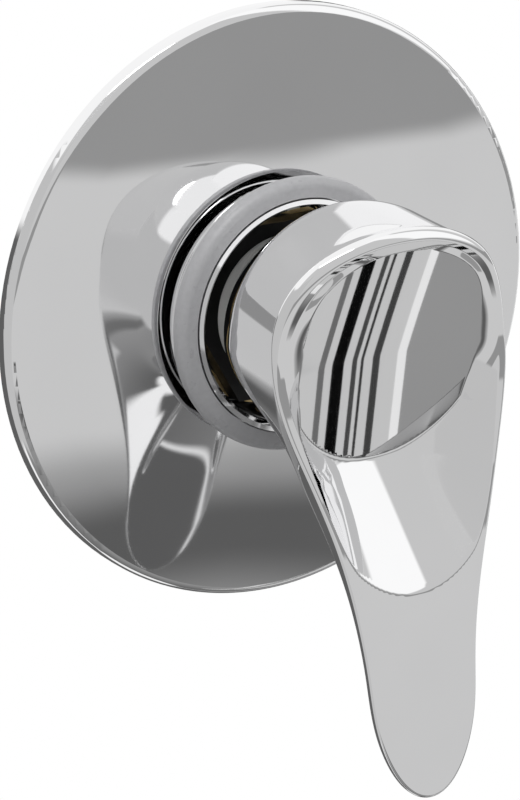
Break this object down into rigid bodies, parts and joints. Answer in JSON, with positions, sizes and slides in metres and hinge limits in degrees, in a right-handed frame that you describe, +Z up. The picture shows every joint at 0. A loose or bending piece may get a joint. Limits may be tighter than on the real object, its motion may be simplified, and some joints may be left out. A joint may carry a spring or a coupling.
{
  "type": "concealed shower tap",
  "caption": "Concealed single-lever shower mixer: round domed chrome cover plate, grey trim ring, scooped tongue lever, brass body with cartridge behind the wall.",
  "frame": {"origin": "on the tap's axis in the finished wall's plane, where the cover plate's rim meets the wall", "axes": "+Y into the wall along the tap's axis, -Y towards the user, +Z up, +X to the right seen from the front"},
  "size_m": [0.15, 0.1205, 0.1805],
  "materials": {
    "plate_chrome": "polished chrome plate",
    "sleeve_chrome": "polished chrome plate",
    "lever_chrome": "polished chrome plate",
    "trim_grey": "satin grey plastic",
    "gasket_foam": "closed-cell foam",
    "seal_rubber": "black rubber",
    "body_brass": "sand-cast brass, machined at the ports",
    "nut_black": "blackened brass",
    "housing_plastic": "moulded white plastic",
    "base_plastic": "moulded blue-grey plastic",
    "rotor_plastic": "moulded black plastic",
    "disc_ceramic": "lapped ceramic",
    "stem_steel": "drawn steel",
    "screw_steel": "dark steel",
    "plug_plastic": "grey plastic"
  },
  "bodies": {
    "fixed": {"cover_plate": "plate_chrome", "wall_gasket": "gasket_foam", "plate_seal": "seal_rubber", "sleeve": "sleeve_chrome", "trim_ring": "trim_grey", "sleeve_oring": "seal_rubber", "mixer_body": "body_brass", "cartridge_nut": "nut_black", "cartridge_housing": "housing_plastic", "cartridge_base": "base_plastic", "base_seals": "seal_rubber", "disc_seals": "seal_rubber", "fixed_disc": "disc_ceramic", "rotor_oring": "seal_rubber"},
    "turning": {"rotor": "rotor_plastic", "stem_pin": "stem_steel"},
    "lever": {"stem": "stem_steel", "lever_handle": "lever_chrome", "grub_screw": "screw_steel", "index_plug": "plug_plastic"},
    "disc": {"disc_carrier": "rotor_plastic", "moving_disc": "disc_ceramic"}
  },
  "joints": [
    {"name": "temperature_turn", "type": "hinge", "parent": "fixed", "child": "turning", "pos_m": [0, 0, 0], "axis": [0, -1, 0], "range_deg": [-50, 50]},
    {"name": "flow_lift", "type": "hinge", "parent": "turning", "child": "lever", "pos_m": [0, -0.022, 0], "axis": [-1, 0, 0], "range_deg": [0, 18]},
    {"name": "disc_slide", "type": "slide", "parent": "turning", "child": "disc", "axis": [0, 0, -1], "range_m": [0, 0.008]}
  ],
  "couplings": [
    {"joint": "disc_slide", "follows": "flow_lift", "m_per_rad": 0.0253}
  ]
}
